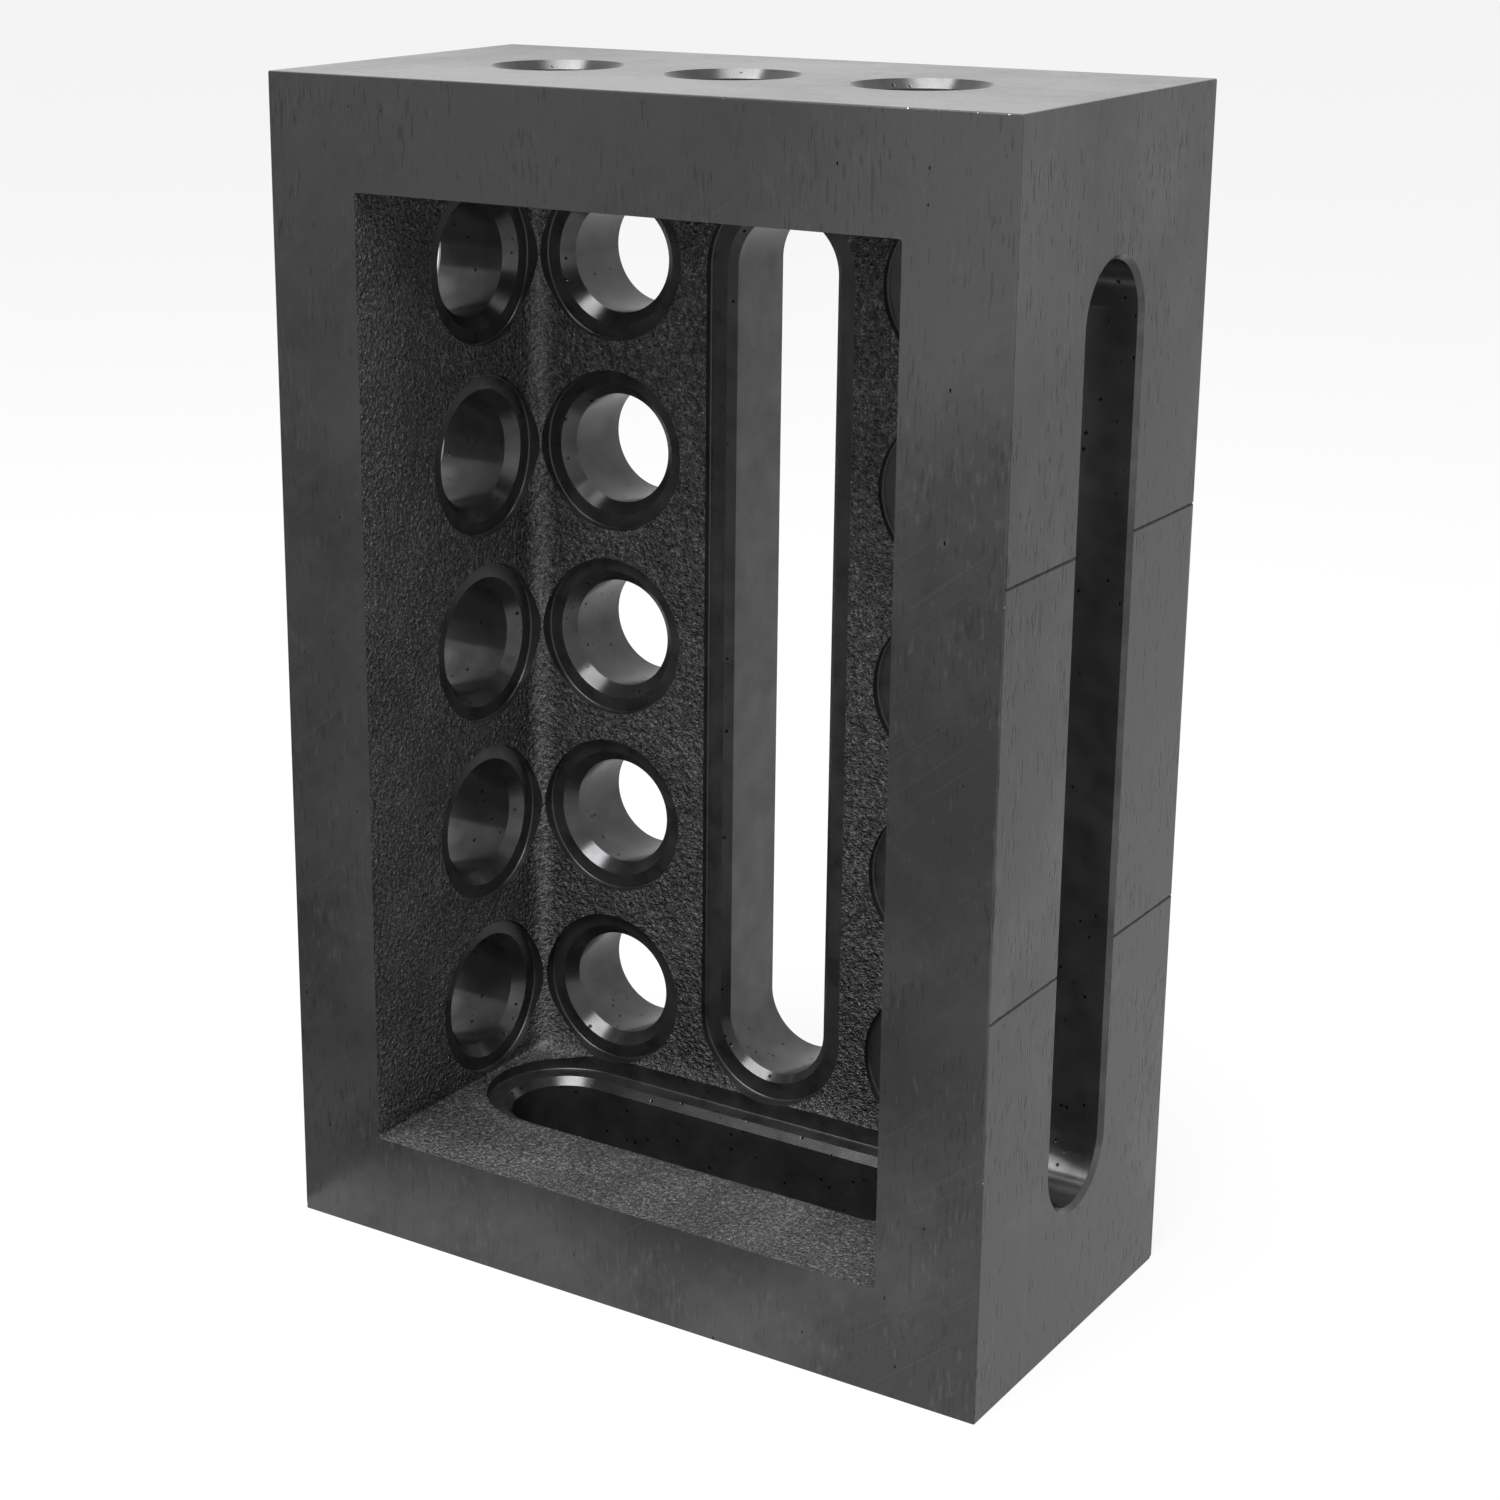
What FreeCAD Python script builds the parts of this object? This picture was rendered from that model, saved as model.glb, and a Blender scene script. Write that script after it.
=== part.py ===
import FreeCAD, Part
import math
import os

# Slotted box angle plate: one grey-iron casting with five walls and an open front.
# Every outer face is ground square. Bores and slots lie on a 2 inch grid, and each one
# is spotfaced inside the cast pocket so that a nut and washer seat on a flat.
#
# Frame: +Z up the long side, -Y out of the open front, +X to the wall with the long slot.
# The origin is the centre of the ground base. All sizes are in millimetres.

INCH = 25.4

# Ground envelope
HEIGHT = 12 * INCH
WIDTH = 8 * INCH
DEPTH = 4 * INCH
EDGE_BREAK = 0.4

# Cast pocket: wall thicknesses at the open rim, and the back wall
RIM_LEFT = 25.9
RIM_RIGHT = 27.5
RIM_BOTTOM = 27.5
RIM_TOP = 27.8
BACK_WALL = 27.4
DRAFT_DEG = 1.0
FLOOR_FILLET = 6.0
CORNER_FILLET = 0.8

# Machined bores and slots
PITCH = 2 * INCH
BORE_DIAMETER = 29.2
SPOTFACE_DIAMETER = 43.0
SPOTFACED_WALL = INCH
BORE_CHAMFER_INSIDE = 3.0
BORE_CHAMFER_OUTSIDE = 2.2
SLOT_CHAMFER_INSIDE = 2.0
SLOT_CHAMFER_OUTSIDE = 1.2

# Rows of the grid, up the height and across the width
ROW_HEIGHTS = [PITCH * row for row in range(1, 6)]
BACK_COLUMNS = [-PITCH, PITCH]
TOP_COLUMNS = [-PITCH, 0.0, PITCH]
LONG_SLOT_TRAVEL = ROW_HEIGHTS[-1] - ROW_HEIGHTS[0]
BASE_SLOT_TRAVEL = 2 * PITCH

# Datum lines scribed across the slotted side, a third and two thirds of the way up
SCRIBED_HEIGHTS = [HEIGHT / 3, 2 * HEIGHT / 3]
SCRIBED_WIDTH = 0.8
SCRIBED_DEPTH = 0.4

# How far a cutting tool stands clear of the surface that it starts from
CLEARANCE = 1.0
SPOTFACE_REACH = 12.0
FLAT_TOLERANCE = 0.01

X_AXIS = FreeCAD.Vector(1, 0, 0)
Y_AXIS = FreeCAD.Vector(0, 1, 0)
Z_AXIS = FreeCAD.Vector(0, 0, 1)
MID_HEIGHT = HEIGHT / 2


def vector(x, y, z):
    return FreeCAD.Vector(x, y, z)


def ground_block():
    """The outer block, with every edge broken by a stone."""
    block = Part.makeBox(WIDTH, DEPTH, HEIGHT, vector(-WIDTH / 2, -DEPTH / 2, 0))
    return block.makeChamfer(EDGE_BREAK, block.Edges)


def cast_pocket():
    """The core: it tapers into the casting, with its floor filleted first and then its corners."""
    floor_depth = DEPTH - BACK_WALL
    floor_y = -DEPTH / 2 + floor_depth
    at_start = CLEARANCE * math.tan(math.radians(DRAFT_DEG))
    at_floor = floor_depth * math.tan(math.radians(DRAFT_DEG))
    left = -WIDTH / 2 + RIM_LEFT
    right = WIDTH / 2 - RIM_RIGHT
    bottom = RIM_BOTTOM
    top = HEIGHT - RIM_TOP
    core = Part.makeWedge(
        left - at_start, -DEPTH / 2 - CLEARANCE, bottom - at_start,
        bottom + at_floor, left + at_floor,
        right + at_start, floor_y, top + at_start,
        top - at_floor, right - at_floor,
    )
    floor_outline = [edge for edge in core.Edges if edge.BoundBox.YMin > floor_y - FLAT_TOLERANCE]
    core = core.makeFillet(FLOOR_FILLET, floor_outline)
    corners = [edge for edge in core.Edges if edge.BoundBox.YLength > floor_depth / 2]
    return core.makeFillet(CORNER_FILLET, corners)


def mouth_section(chamfer_outside, chamfer_inside):
    """Half the section of a bore or slot: X is the radius, Z runs inwards from the ground face."""
    radius = BORE_DIAMETER / 2
    spotface = SPOTFACE_DIAMETER / 2
    floor = SPOTFACED_WALL
    outline = [
        vector(0, 0, -CLEARANCE),
        vector(radius + chamfer_outside + CLEARANCE, 0, -CLEARANCE),
        vector(radius, 0, chamfer_outside),
        vector(radius, 0, floor - chamfer_inside),
        vector(radius + chamfer_inside, 0, floor),
        vector(spotface, 0, floor),
        vector(spotface, 0, floor + SPOTFACE_REACH),
        vector(0, 0, floor + SPOTFACE_REACH),
        vector(0, 0, -CLEARANCE),
    ]
    return Part.Face(Part.makePolygon(outline))


def bore_tool():
    """A bore with its outer chamfer, inner chamfer and spotface, as one turned tool."""
    section = mouth_section(BORE_CHAMFER_OUTSIDE, BORE_CHAMFER_INSIDE)
    return section.revolve(vector(0, 0, 0), Z_AXIS, 360)


def slot_tool(travel):
    """The same mouth drawn along X: two half turns joined by a straight run."""
    section = mouth_section(SLOT_CHAMFER_OUTSIDE, SLOT_CHAMFER_INSIDE)
    side = section.copy()
    side.rotate(vector(0, 0, 0), Z_AXIS, 90)
    side.translate(vector(-travel / 2, 0, 0))
    far_side = side.mirror(vector(0, 0, 0), Y_AXIS)
    straight = side.extrude(X_AXIS * travel).fuse(far_side.extrude(X_AXIS * travel))
    near_end = side.revolve(vector(-travel / 2, 0, 0), Z_AXIS, 180)
    far_end = near_end.mirror(vector(0, 0, 0), X_AXIS)
    return straight.fuse([near_end, far_end]).removeSplitter()


def placed(tool, position, inwards, along):
    """A copy of a tool on a ground face, pointing inwards, with its X laid along a direction."""
    copy = tool.copy()
    copy.Placement = FreeCAD.Placement(position, FreeCAD.Rotation(along, vector(0, 0, 0), inwards, "ZXY"))
    return copy


def back_features():
    """Two columns of five bores, with a long slot between them."""
    bore = bore_tool()
    tools = []
    for x in BACK_COLUMNS:
        for z in ROW_HEIGHTS:
            tools.append(placed(bore, vector(x, DEPTH / 2, z), -Y_AXIS, Z_AXIS))
    slot = slot_tool(LONG_SLOT_TRAVEL)
    tools.append(placed(slot, vector(0, DEPTH / 2, MID_HEIGHT), -Y_AXIS, Z_AXIS))
    return tools


def left_features():
    """One column of five bores."""
    bore = bore_tool()
    return [placed(bore, vector(-WIDTH / 2, 0, z), X_AXIS, Z_AXIS) for z in ROW_HEIGHTS]


def right_features():
    """One long slot."""
    slot = slot_tool(LONG_SLOT_TRAVEL)
    return [placed(slot, vector(WIDTH / 2, 0, MID_HEIGHT), -X_AXIS, Z_AXIS)]


def top_features():
    """A row of three bores."""
    bore = bore_tool()
    return [placed(bore, vector(x, 0, HEIGHT), -Z_AXIS, X_AXIS) for x in TOP_COLUMNS]


def base_features():
    """One slot across the width."""
    slot = slot_tool(BASE_SLOT_TRAVEL)
    return [placed(slot, vector(0, 0, 0), Z_AXIS, X_AXIS)]


def scribed_lines():
    """V-grooves across the slotted side, parallel with the base."""
    grooves = []
    for height in SCRIBED_HEIGHTS:
        section = Part.makePolygon(
            [
                vector(WIDTH / 2, -DEPTH / 2 - CLEARANCE, height - SCRIBED_WIDTH / 2),
                vector(WIDTH / 2 - SCRIBED_DEPTH, -DEPTH / 2 - CLEARANCE, height),
                vector(WIDTH / 2, -DEPTH / 2 - CLEARANCE, height + SCRIBED_WIDTH / 2),
                vector(WIDTH / 2 + CLEARANCE, -DEPTH / 2 - CLEARANCE, height),
                vector(WIDTH / 2, -DEPTH / 2 - CLEARANCE, height - SCRIBED_WIDTH / 2),
            ]
        )
        grooves.append(Part.Face(section).extrude(Y_AXIS * (DEPTH + 2 * CLEARANCE)))
    return grooves


def angle_plate():
    """The finished casting."""
    body = ground_block().cut(cast_pocket())
    body = body.cut(back_features() + left_features() + right_features() + top_features() + base_features())
    body = body.cut(scribed_lines())
    return body.removeSplitter()


def main():
    os.makedirs("parts", exist_ok=True)
    plate = angle_plate()
    solids = plate.Solids
    if len(solids) != 1 or not plate.isValid():
        raise RuntimeError(f"expected one valid solid, and got {len(solids)}")
    solids[0].exportStep("parts/plate_casting.step")
    box = solids[0].optimalBoundingBox()
    print(f"plate_casting {box.XLength:.2f} x {box.YLength:.2f} x {box.ZLength:.2f} mm")
    print(f"volume {solids[0].Volume / 1000:.1f} cm3, faces {len(solids[0].Faces)}")


main()
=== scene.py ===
import math
import random

import bpy
from bpy.props import FloatProperty, FloatVectorProperty, IntProperty, PointerProperty
from mathutils import Matrix, Vector


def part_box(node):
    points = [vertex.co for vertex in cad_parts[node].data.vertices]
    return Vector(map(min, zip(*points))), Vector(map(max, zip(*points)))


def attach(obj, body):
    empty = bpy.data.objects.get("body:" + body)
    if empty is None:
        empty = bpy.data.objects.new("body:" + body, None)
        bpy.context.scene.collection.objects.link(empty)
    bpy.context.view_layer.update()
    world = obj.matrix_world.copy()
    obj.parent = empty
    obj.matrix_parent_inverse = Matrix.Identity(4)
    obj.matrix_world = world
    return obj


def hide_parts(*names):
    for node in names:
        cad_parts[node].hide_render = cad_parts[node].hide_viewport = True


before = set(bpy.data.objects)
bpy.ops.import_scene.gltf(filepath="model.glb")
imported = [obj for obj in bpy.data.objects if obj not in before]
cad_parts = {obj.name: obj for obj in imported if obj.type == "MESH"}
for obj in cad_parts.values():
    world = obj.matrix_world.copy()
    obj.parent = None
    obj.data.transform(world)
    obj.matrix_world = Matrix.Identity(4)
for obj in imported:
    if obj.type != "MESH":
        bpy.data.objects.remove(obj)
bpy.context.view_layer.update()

bl_info = {
    "name": "Box Angle Plate",
    "version": (1, 0, 0),
    "blender": (4, 5, 0),
    "location": "View3D > Sidebar > Angle Plate",
    "description": "Models a slotted box angle plate in ground cast iron, and a stage to show it on",
    "category": "Object",
}

# The casting stands on the middle of its base: +Z up, -Y out of the open front, +X to the slotted side
NODE = "plate_casting"
LOW, HIGH = [Vector(corner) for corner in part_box(NODE)]
MIDDLE = (LOW + HIGH) / 2
MM = 0.001
PITCH = (HIGH.z - LOW.z) / 6
TINY = 0.01 * MM
X_AXIS = Vector((1, 0, 0))
Y_AXIS = Vector((0, 1, 0))
Z_AXIS = Vector((0, 0, 1))
ROWS = [PITCH * row for row in range(1, 6)]

# The core runs out through the open front, and its skin is smooth at the rim and roughens inwards
CORE_RUN_OUT = 4 * MM
SKIN_FADE = 12 * MM
SWELL_SIZE = 22 * MM
SAND_SIZE = 3.2 * MM

# Cutters start clear of the ground face and reach past the cast wall
CUTTER_CLEARANCE = 1 * MM
CUTTER_REACH = 12 * MM
# Steps round a turned cutter: this many leave no vertex in the plane where a slot cutter is parted
TURN_STEPS = 90

# The scriber chatters, which makes the datum lines a little ragged
SCRIBER_STEP = 1.2 * MM
CHATTER_SIZE = 1.5 * MM
CHATTER_RELIEF = 0.35 * MM
SCRIBER_RUN_OUT = 2 * MM

NICK_SEED = 41
MOST_CUTS = 100
FEWEST_FACES = 10000
SMOOTH_ANGLE = math.radians(35)

# Patches that change the tone of the ground faces: centre, radius, tone. The first is a real stain at
# mid-height on the right of the front rim. The fifth and sixth are painted light that lightens the top of
# the front rim. The others are painted shade that darkens the slotted side towards its base and its back
# edge, and the front rim towards its base
STAIN_AND_PAINTED_LIGHT_PATCHES = (
    ((HIGH.x - 16 * MM, LOW.y, MIDDLE.z), 42 * MM, -0.24),
    ((HIGH.x, HIGH.y - 12 * MM, LOW.z), 38 * MM, -0.14),
    ((HIGH.x, -10 * MM, LOW.z + 8 * MM), 80 * MM, -0.22),
    ((HIGH.x, HIGH.y, MIDDLE.z), 80 * MM, -0.16),
    ((HIGH.x - 24 * MM, LOW.y, HIGH.z - 18 * MM), 60 * MM, 0.20),
    ((LOW.x + 60 * MM, LOW.y, HIGH.z), 70 * MM, 0.16),
    ((0, LOW.y, LOW.z + 12 * MM), 90 * MM, -0.08),
)

# The line where the left wall of the pocket meets its back wall, and the top of its bottom wall
POCKET_CORNER = (LOW.x + 28.5 * MM, HIGH.y - 29 * MM)
BOTTOM_WALL = LOW.z + 28.5 * MM

# The stage: a floor that is mostly plain white where it is looked at, and dark cards at the front left
FLOOR_SPAN = 24
FLOOR_WHITE = 0.86
STAGE_BLACK = (0.02, 0.02, 0.02)
DARK_CARDS = (
    ("floor_card", (-0.85, -0.75, 0.001), (-0.104, 0.25, 0.002)),
    ("front_card", (-0.104, -0.50, 0.001), (0.03, -0.085, 0.002)),
    ("far_card", (-1.25, -1.09, 0.001), (-0.55, -0.75, 0.002)),
    ("standing_card", (-1.25, -1.1, 0.0), (-0.50, -1.09, 0.75)),
)
SENSOR_WIDTH = 36


class CastingSettings(bpy.types.PropertyGroup):
    """Sizes of the casting that a pattern maker and a machinist would change."""

    rim_left: FloatProperty(
        name="Left rim", description="Width of the rim on the bored side", default=25.9 * MM,
        unit="LENGTH")
    rim_right: FloatProperty(
        name="Right rim", description="Width of the rim on the slotted side", default=27.5 * MM,
        unit="LENGTH")
    rim_bottom: FloatProperty(
        name="Bottom rim", description="Height of the rim at the base", default=27.5 * MM, unit="LENGTH")
    rim_top: FloatProperty(
        name="Top rim", description="Height of the rim at the top", default=27.8 * MM, unit="LENGTH")
    back_wall: FloatProperty(
        name="Back wall", description="Thickness of the back wall as cast", default=27.4 * MM,
        unit="LENGTH")
    draft: FloatProperty(
        name="Draft", description="Taper of the pocket walls", default=math.radians(1.0), subtype="ANGLE")
    floor_fillet: FloatProperty(
        name="Floor fillet", description="Radius where the walls meet the back wall", default=6.0 * MM,
        unit="LENGTH")
    corner_fillet: FloatProperty(
        name="Corner fillet", description="Radius where two side walls meet", default=0.8 * MM,
        unit="LENGTH")
    edge_break: FloatProperty(
        name="Edge break", description="Bevel stoned on the outer edges", default=0.4 * MM, unit="LENGTH")
    bore_diameter: FloatProperty(
        name="Bore diameter", description="Diameter of the bores and width of the slots",
        default=29.2 * MM, unit="LENGTH")
    spotface_diameter: FloatProperty(
        name="Spotface diameter", description="Diameter of the nut seats inside", default=43.0 * MM,
        unit="LENGTH")
    spotfaced_wall: FloatProperty(
        name="Spotfaced wall", description="Thickness of metal left under a nut seat", default=PITCH / 2,
        unit="LENGTH")
    cutter_radius: FloatProperty(
        name="Cutter corner", description="Corner radius that the spotfacing cutter leaves",
        default=0.5 * MM, unit="LENGTH")
    bore_chamfer_inside: FloatProperty(
        name="Bore chamfer inside", description="Chamfer at a bore's nut seat", default=3.0 * MM,
        unit="LENGTH")
    bore_chamfer_outside: FloatProperty(
        name="Bore chamfer outside", description="Chamfer at a bore's ground face", default=2.2 * MM,
        unit="LENGTH")
    slot_chamfer_inside: FloatProperty(
        name="Slot chamfer inside", description="Chamfer at a slot's nut seat", default=2.0 * MM,
        unit="LENGTH")
    slot_chamfer_outside: FloatProperty(
        name="Slot chamfer outside", description="Chamfer at a slot's ground face", default=1.2 * MM,
        unit="LENGTH")
    scribed_width: FloatProperty(
        name="Scribed line width", description="Width of the datum lines on the slotted side",
        default=0.8 * MM, unit="LENGTH")
    skin_mesh: FloatProperty(
        name="Skin mesh", description="Mesh size of the sand-cast skin", default=1.25 * MM, unit="LENGTH")
    sand_relief: FloatProperty(
        name="Skin relief", description="Height of the lumps that the sand leaves", default=0.45 * MM,
        unit="LENGTH")
    swell: FloatProperty(
        name="Wall swell", description="Height of the slow waves in the cast walls", default=0.35 * MM,
        unit="LENGTH")
    nicks: IntProperty(
        name="Edge nicks", description="How many knocks are scattered along the outer edges", default=5,
        min=0)


class FinishSettings(bpy.types.PropertyGroup):
    """Colours of the surfaces, as linear values."""

    ground: FloatVectorProperty(
        name="Ground iron", description="Outer faces off the surface grinder", subtype="COLOR",
        default=(0.047, 0.047, 0.0483))
    bored: FloatVectorProperty(
        name="Bored iron", description="Walls and chamfers of the bores and slots", subtype="COLOR",
        default=(0.057, 0.057, 0.059))
    skin: FloatVectorProperty(
        name="Cast skin", description="Black paint over the sand-cast pocket", subtype="COLOR",
        default=(0.0225, 0.0225, 0.0234))
    seat: FloatVectorProperty(
        name="Nut seat", description="Painted spotfaces", subtype="COLOR", default=(0.012, 0.012, 0.013))
    scribed: FloatVectorProperty(
        name="Scribed line", description="Blackened bottom of the datum lines", subtype="COLOR",
        default=(0.012, 0.012, 0.012))
    bare: FloatVectorProperty(
        name="Bare metal", description="Fresh metal in the nicks", subtype="COLOR",
        default=(0.24, 0.24, 0.236))


class StageSettings(bpy.types.PropertyGroup):
    """Camera, lamps and floor."""

    camera_place: FloatVectorProperty(
        name="Camera", description="Where the camera stands", subtype="TRANSLATION", unit="LENGTH",
        default=(0.3739, -0.6079, 0.3641))
    camera_aim: FloatVectorProperty(
        name="Line of sight", description="Direction that the camera looks in", subtype="DIRECTION",
        default=(-0.5383, 0.7929, -0.2855))
    camera_roll: FloatProperty(
        name="Roll", description="Turn of the camera about its line of sight", default=math.radians(0.17),
        subtype="ANGLE")
    lens: FloatProperty(
        name="Lens", description="Focal length on a 36 mm sensor, in millimetres", default=70.48)
    shift_x: FloatProperty(name="Shift X", description="Sideways shift of the lens", default=0.10)
    shift_y: FloatProperty(name="Shift Y", description="Upward shift of the lens", default=-0.04)
    overhead_power: FloatProperty(
        name="Overhead lamp", description="Power of the large lamp overhead, in watts", default=54.0)
    side_power: FloatProperty(
        name="Side lamp", description="Power of the soft lamp at the right, in watts", default=1.4)
    fill_level: FloatProperty(
        name="Fill", description="Brightness of the even light all round", default=0.40)
    floor_colour: FloatVectorProperty(
        name="Floor", description="Colour of the floor", subtype="COLOR", default=(0.72, 0.72, 0.72))


# Selecting and shaping


def only(piece):
    """Leave one object selected, and make it the active one."""
    bpy.ops.object.select_all(action="DESELECT")
    piece.select_set(True)
    bpy.context.view_layer.objects.active = piece


def pick(piece, domain, test):
    """Open a piece in edit mode with the items of one domain selected whose corners all pass a test."""
    only(piece)
    mesh = piece.data
    groups = {"VERT": mesh.vertices, "EDGE": mesh.edges, "FACE": mesh.polygons}
    for group in groups.values():
        group.foreach_set("select", [False] * len(group))
    passed = [test(vertex.co) for vertex in mesh.vertices]
    if domain != "VERT":
        passed = [all(passed[v] for v in item.vertices) for item in groups[domain]]
    select_items(piece, domain, passed)


def select_items(piece, domain, chosen):
    """Open a piece in edit mode with a list of its vertices, edges or faces selected."""
    groups = {"VERT": piece.data.vertices, "EDGE": piece.data.edges, "FACE": piece.data.polygons}
    groups[domain].foreach_set("select", chosen)
    bpy.context.tool_settings.mesh_select_mode = tuple(domain == kind for kind in groups)
    bpy.ops.object.mode_set(mode="EDIT")


def leave():
    """Go back to object mode."""
    bpy.ops.object.mode_set(mode="OBJECT")


def solid_cube(name, low, high, turn=(0, 0, 0)):
    """A cube between two corners, turned about its middle, with its place in its mesh."""
    bpy.ops.object.select_all(action="DESELECT")
    bpy.ops.mesh.primitive_cube_add(size=1, location=(low + high) / 2, rotation=turn, scale=high - low)
    bpy.ops.object.transform_apply(location=True, rotation=True, scale=True)
    cube = bpy.context.object
    cube.name = name
    return cube


def finish_modifier(piece, kind, **settings):
    """Add a modifier, set it and apply it."""
    only(piece)
    modifier = piece.modifiers.new(kind.title(), kind)
    for name, value in settings.items():
        setattr(modifier, name, value)
    bpy.ops.object.modifier_apply(modifier=modifier.name)


def laid_copy(tool, mouth, inwards, along):
    """A copy of a cutter with its mouth on a ground face, its Z pointing inwards and its X laid along."""
    copy = tool.copy()
    copy.data = tool.data.copy()
    bpy.context.collection.objects.link(copy)
    turn = Matrix((along, inwards.cross(along), inwards)).transposed().to_4x4()
    copy.data.transform(Matrix.Translation(mouth) @ turn)
    return copy


# The casting


def ground_block(sizes, finishes):
    """The outer block, with its edges stoned round."""
    block = solid_cube("angle_plate", LOW, HIGH)
    pick(block, "EDGE", lambda place: True)
    bpy.ops.mesh.bevel(offset=sizes.edge_break, segments=2, affect="EDGES")
    leave()
    for finish in ("ground_sides", "ground_faces", "ground_ends"):
        block.data.materials.append(finishes[finish])
    for face in block.data.polygons:
        flatness = [abs(axis) for axis in face.normal]
        face.material_index = flatness.index(max(flatness))
    return block


def sand_texture(name, size, depth):
    """A lumpy noise for the skin, with lumps of about one size."""
    texture = bpy.data.textures.new(name, "CLOUDS")
    texture.noise_scale = size
    texture.noise_depth = depth
    return texture


def pocket_core(sizes, finishes):
    """The sand core: a tapered block with filleted edges and a rough skin, run out at the open front."""
    floor_y = HIGH.y - sizes.back_wall
    low = Vector((LOW.x + sizes.rim_left, LOW.y, LOW.z + sizes.rim_bottom))
    high = Vector((HIGH.x - sizes.rim_right, floor_y, HIGH.z - sizes.rim_top))
    core = solid_cube("sand_core", low, high)
    span = high - low
    taper = 2 * span.y * math.tan(sizes.draft)
    pick(core, "VERT", lambda place: place.y > floor_y - TINY)
    bpy.ops.transform.resize(
        value=(1 - taper / span.x, 1, 1 - taper / span.z), center_override=(low + high) / 2)
    leave()
    fillet_core(core, sizes, low, high)
    pick(core, "FACE", lambda place: place.y < LOW.y + TINY)
    bpy.ops.mesh.extrude_region_move(TRANSFORM_OT_translate={"value": (0, -CORE_RUN_OUT, 0)})
    leave()
    for axis in (2, 0, 1):
        divide_along(core, axis, sizes.skin_mesh)
    rough = core.vertex_groups.new(name="rough")
    for vertex in core.data.vertices:
        rough.add([vertex.index], (vertex.co.y - LOW.y) / SKIN_FADE, "REPLACE")
    swell = sand_texture("wall_swell", SWELL_SIZE, 1)
    finish_modifier(core, "DISPLACE", texture=swell, vertex_group="rough", texture_coords="LOCAL",
                    strength=sizes.swell, mid_level=0.5)
    lumps = sand_texture("sand_lumps", SAND_SIZE, 2)
    finish_modifier(core, "DISPLACE", texture=lumps, vertex_group="rough", texture_coords="LOCAL",
                    strength=sizes.sand_relief, mid_level=0.5)
    core.data.materials.append(finishes["cast_skin"])
    return core


def divide_along(piece, axis, cell):
    """Cut the long edges that run along an axis into cells, which nets the walls between them."""
    mesh = piece.data

    def span(edge):
        return mesh.vertices[edge.vertices[1]].co - mesh.vertices[edge.vertices[0]].co

    def runs(edge):
        return abs(span(edge)[axis]) > 0.9 * span(edge).length and span(edge).length > 8 * cell

    # One subdivision makes only so many cuts, so a long edge is cut into lengths first
    parts = round(max(span(edge).length for edge in mesh.edges if runs(edge)) / cell)
    lengths = math.ceil(parts / MOST_CUTS)
    for cuts in (lengths - 1, math.ceil(parts / lengths) - 1):
        if cuts:
            pick(piece, "EDGE", lambda place: False)
            leave()
            select_items(piece, "EDGE", [runs(edge) for edge in mesh.edges])
            bpy.ops.mesh.subdivide(number_cuts=cuts)
            leave()


def fillet_core(core, sizes, low, high):
    """Round the core's floor edges fully, and its corner edges by a smaller share."""
    mesh = core.data
    weights = mesh.attributes.new("bevel_weight_edge", "FLOAT", "EDGE")
    for edge in mesh.edges:
        ends = [mesh.vertices[v].co for v in edge.vertices]
        depths = [end.y for end in ends]
        if min(depths) > high.y - TINY:
            weights.data[edge.index].value = 1.0
        elif max(depths) - min(depths) > (high.y - low.y) / 2:
            weights.data[edge.index].value = sizes.corner_fillet / sizes.floor_fillet
    finish_modifier(core, "BEVEL", width=sizes.floor_fillet, segments=5, limit_method="WEIGHT")


def draw_outline(name, outline):
    """Draw a profile in the XZ plane: one vertex, extruded from point to point."""
    bpy.ops.object.select_all(action="DESELECT")
    bpy.ops.mesh.primitive_plane_add(size=MM)
    tool = bpy.context.object
    tool.name = name
    bpy.ops.object.mode_set(mode="EDIT")
    bpy.ops.mesh.select_mode(type="VERT")
    bpy.ops.mesh.select_all(action="SELECT")
    bpy.ops.mesh.merge(type="CENTER")
    bpy.ops.transform.translate(value=outline[0])
    for start, end in zip(outline, outline[1:]):
        bpy.ops.mesh.extrude_region_move(TRANSFORM_OT_translate={"value": end - start})
    return tool


def turned_tool(name, sizes, chamfer_outside, chamfer_inside, finishes):
    """A bore with both chamfers and its spotface, turned about Z from a profile, Z running inwards."""
    radius = sizes.bore_diameter / 2
    seat = sizes.spotface_diameter / 2
    depth = sizes.spotfaced_wall
    outline = [
        Vector((radius + chamfer_outside + CUTTER_CLEARANCE, 0, -CUTTER_CLEARANCE)),
        Vector((radius, 0, chamfer_outside)),
        Vector((radius, 0, depth - chamfer_inside)),
        Vector((radius + chamfer_inside, 0, depth)),
        Vector((seat, 0, depth)),
        Vector((seat, 0, depth + CUTTER_REACH)),
    ]
    tool = draw_outline(name, outline)
    bpy.ops.mesh.select_all(action="SELECT")
    bpy.ops.mesh.spin(steps=TURN_STEPS, angle=2 * math.pi, center=(0, 0, 0), axis=(0, 0, 1))
    bpy.ops.mesh.select_all(action="SELECT")
    bpy.ops.mesh.remove_doubles(threshold=TINY)
    bpy.ops.mesh.fill_holes(sides=0)
    bpy.ops.mesh.normals_make_consistent(inside=False)
    leave()
    pick(tool, "EDGE", lambda place: abs(place.z - depth) < TINY and place.xy.length > seat - TINY)
    bpy.ops.mesh.bevel(offset=sizes.cutter_radius, segments=3, affect="EDGES")
    leave()
    paint_tool(tool, finishes, seat_depth=depth - TINY)
    lay_tool(tool)
    return tool


def paint_tool(tool, finishes, seat_depth):
    """Bored metal up to the nut seat, and paint from there on."""
    tool.data.materials.append(finishes["bored"])
    tool.data.materials.append(finishes["nut_seat"])
    for face in tool.data.polygons:
        lowest = min(tool.data.vertices[v].co.z for v in face.vertices)
        face.material_index = int(lowest > seat_depth)
        face.use_smooth = True


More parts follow.
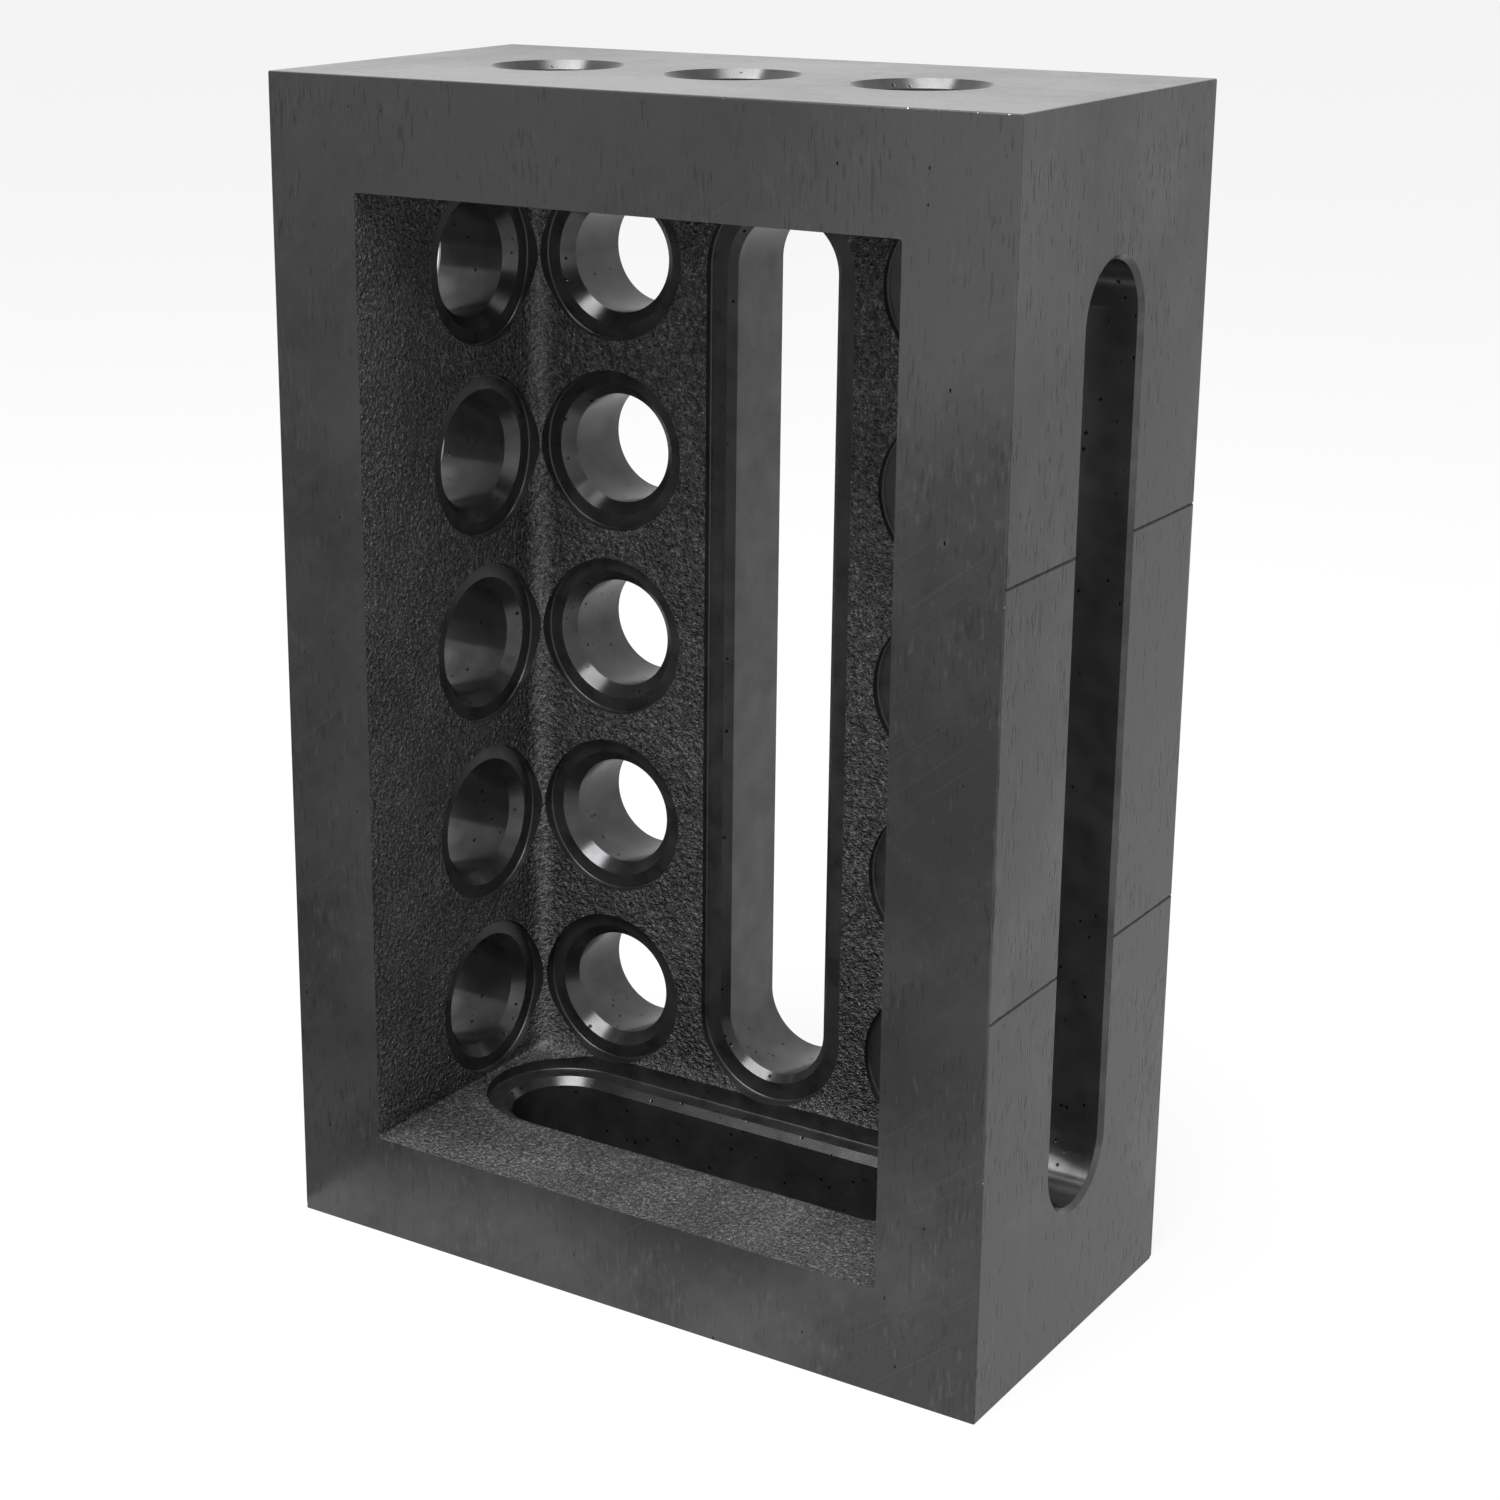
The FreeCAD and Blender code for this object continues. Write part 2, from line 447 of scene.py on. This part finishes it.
def lay_tool(tool):
    """A UV map along the cutter's path: U runs round the axis and V along the profile, in metres."""
    mesh = tool.data
    layer = mesh.uv_layers.new(name="lay")
    for face in mesh.polygons:
        middle = math.atan2(face.center.y, face.center.x)
        for loop in face.loop_indices:
            place = mesh.vertices[mesh.loops[loop].vertex_index].co
            turn = math.remainder(math.atan2(place.y, place.x) - middle, 2 * math.pi)
            radius = place.xy.length
            layer.data[loop].uv = ((middle + turn) * radius, place.z - 0.5 * radius)


def stretched(tool, travel):
    """Part a turned cutter down its middle and draw its halves apart along X, to make a slot cutter."""
    for side in (-1, 1):
        pick(tool, "VERT", lambda place: place.x * side > 0)
        bpy.ops.transform.translate(value=(side * travel / 2, 0, 0))
        leave()
    return tool


def bore_cutters(sizes, finishes):
    """Ten bores in the back, five in the left side and three in the top."""
    tool = turned_tool("bore", sizes, sizes.bore_chamfer_outside, sizes.bore_chamfer_inside, finishes)
    cutters = []
    for z in ROWS:
        for x in (-PITCH, PITCH):
            cutters.append(laid_copy(tool, Vector((x, HIGH.y, z)), -Y_AXIS, Z_AXIS))
        cutters.append(laid_copy(tool, Vector((LOW.x, 0, z)), X_AXIS, Z_AXIS))
    for x in (-PITCH, 0, PITCH):
        cutters.append(laid_copy(tool, Vector((x, 0, HIGH.z)), -Z_AXIS, X_AXIS))
    bpy.data.objects.remove(tool)
    return cutters


def slot_cutters(sizes, finishes):
    """A long slot in the back and in the right side, and a short one in the base."""
    plans = [
        ("back_slot", Vector((0, HIGH.y, MIDDLE.z)), -Y_AXIS, Z_AXIS, ROWS[-1] - ROWS[0]),
        ("right_slot", Vector((HIGH.x, 0, MIDDLE.z)), -X_AXIS, Z_AXIS, ROWS[-1] - ROWS[0]),
        ("base_slot", Vector((0, 0, LOW.z)), Z_AXIS, X_AXIS, 2 * PITCH),
    ]
    cutters = []
    for name, mouth, inwards, along, travel in plans:
        tool = turned_tool(name, sizes, sizes.slot_chamfer_outside, sizes.slot_chamfer_inside, finishes)
        stretched(tool, travel)
        cutters.append(laid_copy(tool, mouth, inwards, along))
        bpy.data.objects.remove(tool)
    return cutters


def scribed_cutters(sizes, finishes):
    """V-grooves across the slotted side, a third and two thirds of the way up."""
    half = Vector((sizes.scribed_width, HIGH.y - LOW.y + 2 * SCRIBER_RUN_OUT, sizes.scribed_width)) / 2
    half.x /= math.sqrt(2)
    half.z /= math.sqrt(2)
    cutters = []
    for share in (1 / 3, 2 / 3):
        middle = Vector((HIGH.x, 0, LOW.z + share * (HIGH.z - LOW.z)))
        groove = solid_cube("scribed", middle - half, middle + half, turn=(0, math.radians(45), 0))
        divide_along(groove, 1, SCRIBER_STEP)
        chatter = sand_texture("scriber_chatter", CHATTER_SIZE, 1)
        finish_modifier(groove, "DISPLACE", texture=chatter, texture_coords="LOCAL",
                        strength=CHATTER_RELIEF, mid_level=0.5)
        groove.data.materials.append(finishes["scribed"])
        cutters.append(groove)
    return cutters


def nick_cutter(place, size, draws, finish):
    """A chip out of an edge: a small rough ball, squashed and turned at random."""
    bpy.ops.object.select_all(action="DESELECT")
    bpy.ops.mesh.primitive_ico_sphere_add(
        subdivisions=2, radius=size, location=place,
        rotation=[draws.uniform(0, math.pi) for axis in range(3)],
        scale=[draws.uniform(0.45, 1.0) for axis in range(3)])
    chip = bpy.context.object
    bpy.ops.object.mode_set(mode="EDIT")
    bpy.ops.transform.vertex_random(offset=0.18 * size, seed=draws.randrange(1000))
    leave()
    bpy.ops.object.transform_apply(location=True, rotation=True, scale=True)
    chip.name = "nick"
    chip.data.materials.append(finish)
    return chip


def nick_cutters(sizes, finishes):
    """Knocks on the outer edges: five known ones, and the rest scattered."""
    draws = random.Random(NICK_SEED)
    chips = [
        (Vector((HIGH.x - 3.2 * MM, LOW.y, HIGH.z)), 0.75 * MM),
        (Vector((HIGH.x, LOW.y, HIGH.z)), 0.9 * MM),
        (Vector((HIGH.x, LOW.y, LOW.z + 63 * MM)), 1.0 * MM),
        (Vector((LOW.x, LOW.y, LOW.z + 1 * MM)), 0.8 * MM),
        (Vector((HIGH.x, HIGH.y, LOW.z)), 1.6 * MM),
    ]
    for scattered in range(sizes.nicks):
        axis = draws.randrange(3)
        place = Vector([draws.choice(ends) for ends in zip(LOW, HIGH)])
        place[axis] = draws.uniform(LOW[axis], HIGH[axis])
        chips.append((place, draws.uniform(0.3, 0.5) * MM))
    return [nick_cutter(place, size, draws, finishes["bare"]) for place, size in chips]


def cut(body, cutters):
    """Cut every tool out of the body at once, and keep each tool's finish on the faces that it leaves."""
    tools = bpy.data.collections.new("cutters")
    bpy.context.scene.collection.children.link(tools)
    for cutter in cutters:
        for home in list(cutter.users_collection):
            home.objects.unlink(cutter)
        tools.objects.link(cutter)
    finish_modifier(body, "BOOLEAN", operation="DIFFERENCE", operand_type="COLLECTION", collection=tools,
                    solver="EXACT", material_mode="TRANSFER")
    for cutter in cutters:
        bpy.data.objects.remove(cutter)
    bpy.data.collections.remove(tools)


class ANGLEPLATE_OT_casting(bpy.types.Operator):
    """Model the machined casting"""

    bl_idname = "angle_plate.casting"
    bl_label = "Casting"
    bl_options = {"REGISTER", "UNDO"}

    def execute(self, context):
        sizes = context.scene.angle_plate_casting
        finishes = make_finishes(context.scene.angle_plate_finish)
        plate = ground_block(sizes, finishes)
        cutters = [pocket_core(sizes, finishes)]
        cutters += bore_cutters(sizes, finishes)
        cutters += slot_cutters(sizes, finishes)
        cutters += scribed_cutters(sizes, finishes)
        cutters += nick_cutters(sizes, finishes)
        cut(plate, cutters)
        if len(plate.data.polygons) < FEWEST_FACES:
            raise RuntimeError("the pocket, bores and slots weren't cut")
        only(plate)
        bpy.ops.object.shade_smooth_by_angle(angle=SMOOTH_ANGLE)
        finish_modifier(plate, "WEIGHTED_NORMAL", keep_sharp=True)
        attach(plate, "root")
        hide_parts(NODE)
        return {"FINISHED"}


# Finishes


def new_finish(name):
    """An empty material with its node tree and its principled shader."""
    material = bpy.data.materials.new(name)
    material.use_nodes = True
    tree = material.node_tree
    return material, tree, tree.nodes["Principled BSDF"]


def add(tree, kind, inputs, **settings):
    """Add a node, set its properties, and give its inputs a value or a link."""
    made = tree.nodes.new(kind)
    for name, value in settings.items():
        setattr(made, name, value)
    for socket, value in inputs.items():
        if isinstance(value, bpy.types.NodeSocket):
            tree.links.new(value, made.inputs[socket])
        else:
            made.inputs[socket].default_value = value
    return made


def place_on(tree, stretch=(1, 1, 1), turn=(0, 0, 0), start=(0, 0, 0), output="Object"):
    """Coordinates in metres, turned and drawn out: a stretch of 20 makes a pattern 20 times longer."""
    source = add(tree, "ShaderNodeTexCoord", {}).outputs[output]
    inputs = {"Vector": source, "Location": start, "Rotation": turn, "Scale": stretch}
    return add(tree, "ShaderNodeMapping", inputs, vector_type="TEXTURE").outputs["Vector"]


def noise(tree, where, size, detail=2.0, rough=0.5):
    """Soft noise with lumps of a given size in metres, from 0 to 1."""
    made = add(tree, "ShaderNodeTexNoise",
               {"Vector": where, "Scale": 1 / size, "Detail": detail, "Roughness": rough})
    return made.outputs["Fac"]


def spread(tree, value, low, high, out_low=0.0, out_high=1.0):
    """Map a value from one range to another, held at both ends."""
    made = add(tree, "ShaderNodeMapRange",
               {"Value": value, "From Min": low, "From Max": high, "To Min": out_low, "To Max": out_high})
    return made.outputs["Result"]


def combine(tree, operation, first, second):
    """Arithmetic on two values."""
    return add(tree, "ShaderNodeMath", {0: first, 1: second}, operation=operation).outputs["Value"]


def raised(tree, value, extra, amount):
    """A value with a share of another one added to it."""
    return combine(tree, "ADD", value, combine(tree, "MULTIPLY", extra, amount))


def weighed(tree, first, share, second):
    """Two values added together, the first by a share and the second by the rest."""
    return raised(tree, combine(tree, "MULTIPLY", first, share), second, 1 - share)


def blend(tree, share, first, second):
    """Mix two colours by a share."""
    made = tree.nodes.new("ShaderNodeMix")
    made.data_type = "RGBA"
    for socket, value in ((0, share), (6, first), (7, second)):
        if isinstance(value, bpy.types.NodeSocket):
            tree.links.new(value, made.inputs[socket])
        elif socket:
            made.inputs[socket].default_value = (*value, 1.0)
        else:
            made.inputs[socket].default_value = value
    return made.outputs[2]


def relief(tree, height, distance, strength=1.0, under=None):
    """Bump of a given height in metres, laid over another bump if there is one."""
    inputs = {"Height": height, "Distance": distance, "Strength": strength}
    if under:
        inputs["Normal"] = under
    return add(tree, "ShaderNodeBump", inputs).outputs["Normal"]


def shades(colour, *levels):
    """A colour at several brightnesses."""
    return [tuple(channel * level for channel in colour) for level in levels]


def pits(tree, where, spacing, share, radius):
    """Pores: a small spot in some of the cells of a random net, 1 in the spot and 0 outside."""
    cells = add(tree, "ShaderNodeTexVoronoi", {"Vector": where, "Scale": 1 / spacing, "Randomness": 1.0})
    spot = spread(tree, cells.outputs["Distance"], radius * 0.5, radius, 1.0, 0.0)
    kept = add(tree, "ShaderNodeSeparateColor", {"Color": cells.outputs["Color"]}).outputs["Red"]
    kept = combine(tree, "LESS_THAN", kept, share)
    return combine(tree, "MULTIPLY", spot, kept)


def scratches(tree, turn, length, width, share):
    """Thin straight scratches in one direction, from noise drawn out to a thread."""
    where = place_on(tree, stretch=(1, 1, length / width), turn=turn)
    threads = noise(tree, where, width, detail=0.0)
    return spread(tree, threads, 1 - share, 1 - 0.8 * share)


def soft_ball(tree, where, centre, radius, ragged):
    """1 near a point and 0 past a radius, with an edge that another value makes ragged."""
    reach = add(tree, "ShaderNodeVectorMath", {0: where, 1: centre}, operation="DISTANCE").outputs["Value"]
    reach = raised(tree, reach, ragged, radius)
    return spread(tree, reach, 0.7 * radius, 1.5 * radius, 1.0, 0.0)


def ground_iron(name, colour, lay, torn, painted_shade=0.0, gloss=0.5):
    """Grey iron off the surface grinder: lay lines, stains, open pores, short tears and scratches, with
    patches of painted light and painted shade, and a painted shade that can darken a whole copy.
    """
    material, tree, shader = new_finish(name)
    where = place_on(tree)
    short_lay = place_on(tree, stretch=[min(axis, 5.0) for axis in lay])
    pore_lay = place_on(tree, stretch=[min(axis, 2.0) for axis in lay])
    lines = noise(tree, place_on(tree, stretch=lay), 0.5 * MM, detail=3.0, rough=0.6)
    stains = noise(tree, place_on(tree, start=(0.31, 0.12, 0.05)), 60 * MM, detail=5.0, rough=0.6)
    mottle = noise(tree, where, 5 * MM, detail=4.0, rough=0.7)
    tears = noise(tree, short_lay, 1.0 * MM, detail=1.0)
    crowd = spread(tree, noise(tree, where, 18 * MM), 0.35, 0.65, -0.07, 0.05)
    tears_dark = spread(tree, combine(tree, "ADD", tears, crowd), 0.62, 0.69)
    tears_light = spread(tree, combine(tree, "SUBTRACT", tears, crowd), 0.36, 0.28)
    pores = pits(tree, pore_lay, spacing=3.2 * MM, share=torn, radius=0.10)
    open_iron = combine(tree, "MAXIMUM", pores, combine(tree, "MULTIPLY", tears_dark, torn))
    falling = scratches(tree, turn=(0, 0.9, 0), length=30 * MM, width=0.30 * MM, share=0.29)
    crossing = scratches(tree, turn=(0.6, 0, 0), length=26 * MM, width=0.30 * MM, share=0.29)
    marks = combine(tree, "MAXIMUM", falling, crossing)
    # The tone is real stains and mottle, less a painted shade that darkens this copy of the finish all over
    tone = combine(tree, "SUBTRACT", weighed(tree, stains, 0.8, mottle), painted_shade)
    # A real stain, and patches of painted light and painted shade, are laid over the tone
    for centre, radius, change in STAIN_AND_PAINTED_LIGHT_PATCHES:
        tone = raised(tree, tone, soft_ball(tree, where, centre, radius, stains), change)
    dark, low, high, light = shades(colour, 0.20, 0.68, 1.25, 1.7)
    base = blend(tree, spread(tree, tone, 0.36, 0.62), low, high)
    base = blend(tree, combine(tree, "MULTIPLY", marks, 0.20), base, light)
    base = blend(tree, combine(tree, "MULTIPLY", tears_light, 0.30), base, light)
    base = blend(tree, open_iron, base, dark)
    tree.links.new(base, shader.inputs["Base Color"])
    tree.links.new(spread(tree, tone, 0.36, 0.62, 0.32, 0.24), shader.inputs["Roughness"])
    tree.links.new(spread(tree, open_iron, 0.0, 1.0, 0.50, 1.0), shader.inputs["Metallic"])
    shader.inputs["Specular IOR Level"].default_value = gloss
    bump = relief(tree, lines, 0.03 * MM, strength=0.6)
    bump = relief(tree, mottle, 0.05 * MM, strength=0.4, under=bump)
    bump = relief(tree, combine(tree, "SUBTRACT", 1.0, open_iron), 0.15 * MM, strength=0.8, under=bump)
    tree.links.new(bump, shader.inputs["Normal"])
    return material


def bored_iron(name, colour):
    """Bored and chamfered iron: lines round the axis, and chatter that breaks up the highlights."""
    material, tree, shader = new_finish(name)
    where = place_on(tree)
    along_lines = place_on(tree, stretch=(30, 1, 1), output="UV")
    across_lines = place_on(tree, stretch=(1, 9, 1), output="UV")
    lines = noise(tree, along_lines, 0.25 * MM, detail=3.0, rough=0.7)
    chatter = noise(tree, across_lines, 0.35 * MM, rough=0.6)
    clouds = noise(tree, where, 9 * MM, detail=4.0, rough=0.6)
    large_pores = pits(tree, where, spacing=3.4 * MM, share=0.6, radius=0.16)
    small_pores = pits(tree, where, spacing=1.5 * MM, share=0.06, radius=0.17)
    pores = combine(tree, "MAXIMUM", large_pores, small_pores)
    dark, low, high = shades(colour, 0.15, 0.60, 1.35)
    base = blend(tree, spread(tree, weighed(tree, clouds, 0.55, lines), 0.36, 0.64), low, high)
    base = blend(tree, pores, base, dark)
    tree.links.new(base, shader.inputs["Base Color"])
    tree.links.new(spread(tree, lines, 0.3, 0.7, 0.20, 0.32), shader.inputs["Roughness"])
    tree.links.new(spread(tree, pores, 0.0, 1.0, 0.75, 1.0), shader.inputs["Metallic"])
    shader.inputs["Anisotropic"].default_value = 0.75
    shader.inputs["Anisotropic Rotation"].default_value = 0.25
    tangent = add(tree, "ShaderNodeTangent", {}, direction_type="UV_MAP", uv_map="lay")
    tree.links.new(tangent.outputs["Tangent"], shader.inputs["Tangent"])
    bump = relief(tree, lines, 0.06 * MM, strength=0.6)
    bump = relief(tree, chatter, 0.08 * MM, strength=0.6, under=bump)
    bump = relief(tree, combine(tree, "SUBTRACT", 1.0, pores), 0.12 * MM, strength=0.8, under=bump)
    tree.links.new(bump, shader.inputs["Normal"])
    return material


def cast_skin(name, colour):
    """Black paint over a sand-cast skin, its grain painted with glints, with a painted highlight down the
    fillet of the left corner, and a bottom wall painted lighter for the dirt that lies on it and for the
    light from above.
    """
    material, tree, shader = new_finish(name)
    where = place_on(tree)
    grains = noise(tree, where, 1.2 * MM, detail=2.5, rough=0.6)
    fine_grain = noise(tree, where, 0.55 * MM, detail=1.0)
    sand = add(tree, "ShaderNodeTexVoronoi", {"Vector": where, "Scale": 1 / (0.75 * MM), "Randomness": 1.0})
    specks = spread(tree, sand.outputs["Distance"], 0.05, 0.50, 1.0, 0.0)
    rubbed = noise(tree, where, 22 * MM, detail=4.0, rough=0.6)
    # A ball drawn out a thousandfold in height is a column
    column = place_on(tree, stretch=(1, 1, 1000))
    # A painted highlight runs down the fillet of the left corner and widens at its foot
    painted_corner_highlight = soft_ball(tree, column, (*POCKET_CORNER, 0), 4.0 * MM, rubbed)
    painted_foot_highlight = soft_ball(tree, where, (*POCKET_CORNER, LOW.z + 33 * MM), 16 * MM, rubbed)
    # The bottom wall is painted lighter, for the dirt that lies on it and for the light from above, and its
    # relief is lower
    height = add(tree, "ShaderNodeSeparateXYZ", {"Vector": where}).outputs["Z"]
    bottom_dirt_and_light = spread(tree, height, BOTTOM_WALL, BOTTOM_WALL + 3.5 * MM, 1.0, 0.0)
    grain_and_painted_light = weighed(tree, fine_grain, 0.5, grains)
    grain_and_painted_light = combine(tree, "ADD", grain_and_painted_light, spread(tree, rubbed, 0.35, 0.75, -0.03, 0.06))
    for place, gain in ((painted_corner_highlight, 0.14), (painted_foot_highlight, 0.11), (bottom_dirt_and_light, 0.025)):
        grain_and_painted_light = raised(tree, grain_and_painted_light, place, gain)
    # The grain's crests are painted many times lighter than its hollows: painted glints where light catches
    # the grain, over some real grain tone
    low, high, painted_glint = shades(colour, 0.22, 1.5, 5.4)
    base = blend(tree, spread(tree, grain_and_painted_light, 0.38, 0.55), low, high)
    base = blend(tree, spread(tree, grain_and_painted_light, 0.55, 0.72), base, painted_glint)
    tree.links.new(base, shader.inputs["Base Color"])
    tree.links.new(spread(tree, grains, 0.35, 0.65, 0.42, 0.24), shader.inputs["Roughness"])
    shader.inputs["Specular IOR Level"].default_value = 0.35
    proud = combine(tree, "MULTIPLY", grains, spread(tree, bottom_dirt_and_light, 0.0, 1.0, 1.0, 0.35))
    bump = relief(tree, specks, 0.18 * MM, strength=0.8)
    bump = relief(tree, proud, 2.0 * MM, under=bump)
    tree.links.new(bump, shader.inputs["Normal"])
    return material


def nut_seat(name, colour):
    """Spotfaced and painted: smooth, with faint turning marks under the paint."""
    material, tree, shader = new_finish(name)
    rings = noise(tree, place_on(tree, stretch=(40, 1, 1), output="UV"), 0.5 * MM)
    clouds = noise(tree, place_on(tree), 7 * MM, detail=4.0, rough=0.6)
    low, high = shades(colour, 0.7, 1.6)
    base = blend(tree, spread(tree, clouds, 0.35, 0.7), low, high)
    tree.links.new(base, shader.inputs["Base Color"])
    tree.links.new(spread(tree, clouds, 0.3, 0.7, 0.24, 0.36), shader.inputs["Roughness"])
    bump = relief(tree, rings, 0.04 * MM, strength=0.5)
    bump = relief(tree, clouds, 0.12 * MM, strength=0.4, under=bump)
    tree.links.new(bump, shader.inputs["Normal"])
    return material


def rough_metal(name, colour, metallic, roughness):
    """Torn metal, or the dark bottom of a scribed line: one tone broken up by a coarse grain."""
    material, tree, shader = new_finish(name)
    grain = noise(tree, place_on(tree), 0.5 * MM, detail=3.0, rough=0.6)
    low, high = shades(colour, 0.6, 1.2)
    tree.links.new(blend(tree, spread(tree, grain, 0.35, 0.65), low, high), shader.inputs["Base Color"])
    tree.links.new(relief(tree, grain, 0.1 * MM, strength=0.6), shader.inputs["Normal"])
    shader.inputs["Metallic"].default_value = metallic
    shader.inputs["Roughness"].default_value = roughness
    return material


def make_finishes(colours):
    """Every finish on the casting, by name."""
    ground = colours.ground
    upright_lay = (1, 1, 16)
    end_lay = (16, 1, 1)
    return {
        # The sides are darkened all over by a painted shade, which the faces and ends don't have
        "ground_sides": ground_iron("ground_sides", ground, upright_lay, torn=0.45, painted_shade=0.10, gloss=0.38),
        "ground_faces": ground_iron("ground_faces", ground, upright_lay, torn=0.14),
        "ground_ends": ground_iron("ground_ends", ground, end_lay, torn=0.20),
        "bored": bored_iron("bored", colours.bored),
        "cast_skin": cast_skin("cast_skin", colours.skin),
        "nut_seat": nut_seat("nut_seat", colours.seat),
        "scribed": rough_metal("scribed", colours.scribed, metallic=0.0, roughness=0.6),
        "bare": rough_metal("bare", colours.bare, metallic=1.0, roughness=0.35),
    }


# The stage


def looked_at(tree):
    """1 for the rays that show a surface: those from the camera, and those mirrored or sent through."""
    path = add(tree, "ShaderNodeLightPath", {})
    seen = combine(tree, "MAXIMUM", path.outputs["Is Camera Ray"], path.outputs["Is Glossy Ray"])
    return combine(tree, "MAXIMUM", seen, path.outputs["Is Transmission Ray"])


def white_floor(stage):
    """A wide white floor that keeps the shadow of what stands on it, with a painted shadow of black under
    the casting.
    """
    bpy.ops.object.select_all(action="DESELECT")
    bpy.ops.mesh.primitive_plane_add(size=FLOOR_SPAN, location=(0, 0, LOW.z))
    floor = bpy.context.object
    floor.name = "floor"
    material, tree, shader = new_finish("floor_white")
    shader.inputs["Roughness"].default_value = 0.9
    shader.inputs["Specular IOR Level"].default_value = 0.0
    glow = add(tree, "ShaderNodeEmission", {"Color": (1, 1, 1, 1), "Strength": 1.0})
    # Under the casting, where only the base slot shows it, the floor is painted black, a painted shadow, and
    # it is not white there where it is looked at
    place = add(tree, "ShaderNodeSeparateXYZ", {"Vector": place_on(tree)})
    past_side = combine(tree, "SUBTRACT", combine(tree, "ABSOLUTE", place.outputs["X"], 0.0), HIGH.x)
    past_face = combine(tree, "SUBTRACT", combine(tree, "ABSOLUTE", place.outputs["Y"], 0.0), HIGH.y)
    past_painted_shadow = spread(tree, combine(tree, "MAXIMUM", past_side, past_face), -5 * MM, 0.0)
    colour = blend(tree, past_painted_shadow, STAGE_BLACK, tuple(stage.floor_colour))
    tree.links.new(colour, shader.inputs["Base Color"])
    share = combine(tree, "MULTIPLY", looked_at(tree), combine(tree, "MULTIPLY", past_painted_shadow, FLOOR_WHITE))
    mixed = add(tree, "ShaderNodeMixShader", {0: share, 1: shader.outputs["BSDF"], 2: glow.outputs[0]})
    tree.links.new(mixed.outputs[0], tree.nodes["Material Output"].inputs["Surface"])
    floor.data.materials.append(material)


def white_surround(stage):
    """Even light all round, which is white where it is looked at."""
    world = bpy.data.worlds.new("surround")
    bpy.context.scene.world = world
    world.use_nodes = True
    tree = world.node_tree
    level = spread(tree, looked_at(tree), 0, 1, stage.fill_level, 1.0)
    tree.nodes["Background"].inputs["Color"].default_value = (1, 1, 1, 1)
    tree.links.new(level, tree.nodes["Background"].inputs["Strength"])


def soft_lamp(name, place, side, power):
    """A square soft lamp that faces the middle of the casting."""
    bpy.ops.object.light_add(type="AREA", location=place)
    lamp = bpy.context.object
    lamp.name = name
    lamp.rotation_euler = (MIDDLE - Vector(place)).to_track_quat("-Z", "Y").to_euler()
    lamp.data.shape = "SQUARE"
    lamp.data.size = side
    lamp.data.energy = power
    lamp.visible_camera = False


def dark_card(name, low, high):
    """A dark card between two corners, which only mirrored rays meet: it darkens what metal reflects."""
    card = solid_cube(name, Vector(low), Vector(high))
    material, _, shader = new_finish(name)
    shader.inputs["Base Color"].default_value = (*STAGE_BLACK, 1)
    shader.inputs["Roughness"].default_value = 1.0
    card.data.materials.append(material)
    card.visible_camera = False
    card.visible_diffuse = False
    card.visible_shadow = False


def view_camera(stage):
    """The camera, with its roll about the line of sight."""
    bpy.ops.object.camera_add(location=stage.camera_place)
    camera = bpy.context.object
    aim = Vector(stage.camera_aim).to_track_quat("-Z", "Y").to_matrix().to_4x4()
    roll = Matrix.Rotation(-stage.camera_roll, 4, "Z")
    camera.matrix_world = Matrix.Translation(stage.camera_place) @ aim @ roll
    camera.data.sensor_width = SENSOR_WIDTH
    camera.data.lens = stage.lens
    camera.data.shift_x = stage.shift_x
    camera.data.shift_y = stage.shift_y
    camera.data.clip_start = 0.01
    bpy.context.scene.camera = camera


class ANGLEPLATE_OT_stage(bpy.types.Operator):
    """Set up the floor, the soft lamps and the camera"""

    bl_idname = "angle_plate.stage"
    bl_label = "Stage"
    bl_options = {"REGISTER", "UNDO"}

    def execute(self, context):
        stage = context.scene.angle_plate_stage
        white_floor(stage)
        white_surround(stage)
        soft_lamp("overhead", place=(0.0, -0.52, 1.4), side=1.1, power=stage.overhead_power)
        soft_lamp("right_side", place=(1.3, -0.5, 0.35), side=0.7, power=stage.side_power)
        for name, low, high in DARK_CARDS:
            dark_card(name, low, high)
        view_camera(stage)
        context.scene.view_settings.view_transform = "Standard"
        return {"FINISHED"}


class ANGLEPLATE_PT_panel(bpy.types.Panel):
    """Buttons for the casting and its stage"""

    bl_label = "Angle Plate"
    bl_idname = "ANGLEPLATE_PT_panel"
    bl_space_type = "VIEW_3D"
    bl_region_type = "UI"
    bl_category = "Angle Plate"

    def draw(self, context):
        layout = self.layout
        for group, operator in (
            (context.scene.angle_plate_casting, "angle_plate.casting"),
            (context.scene.angle_plate_finish, None),
            (context.scene.angle_plate_stage, "angle_plate.stage"),
        ):
            box = layout.box()
            for name in group.__annotations__:
                box.prop(group, name)
            if operator:
                box.operator(operator)


CLASSES = (
    CastingSettings, FinishSettings, StageSettings,
    ANGLEPLATE_OT_casting, ANGLEPLATE_OT_stage, ANGLEPLATE_PT_panel,
)


def register():
    """Add the settings, the two buttons and the panel."""
    for cls in CLASSES:
        bpy.utils.register_class(cls)
    bpy.types.Scene.angle_plate_casting = PointerProperty(type=CastingSettings)
    bpy.types.Scene.angle_plate_finish = PointerProperty(type=FinishSettings)
    bpy.types.Scene.angle_plate_stage = PointerProperty(type=StageSettings)


def unregister():
    """Take them away again."""
    del bpy.types.Scene.angle_plate_stage
    del bpy.types.Scene.angle_plate_finish
    del bpy.types.Scene.angle_plate_casting
    for cls in reversed(CLASSES):
        bpy.utils.unregister_class(cls)


def main():
    """Model the casting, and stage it."""
    register()
    bpy.ops.angle_plate.casting()
    bpy.ops.angle_plate.stage()


if __name__ == "__main__":
    main()
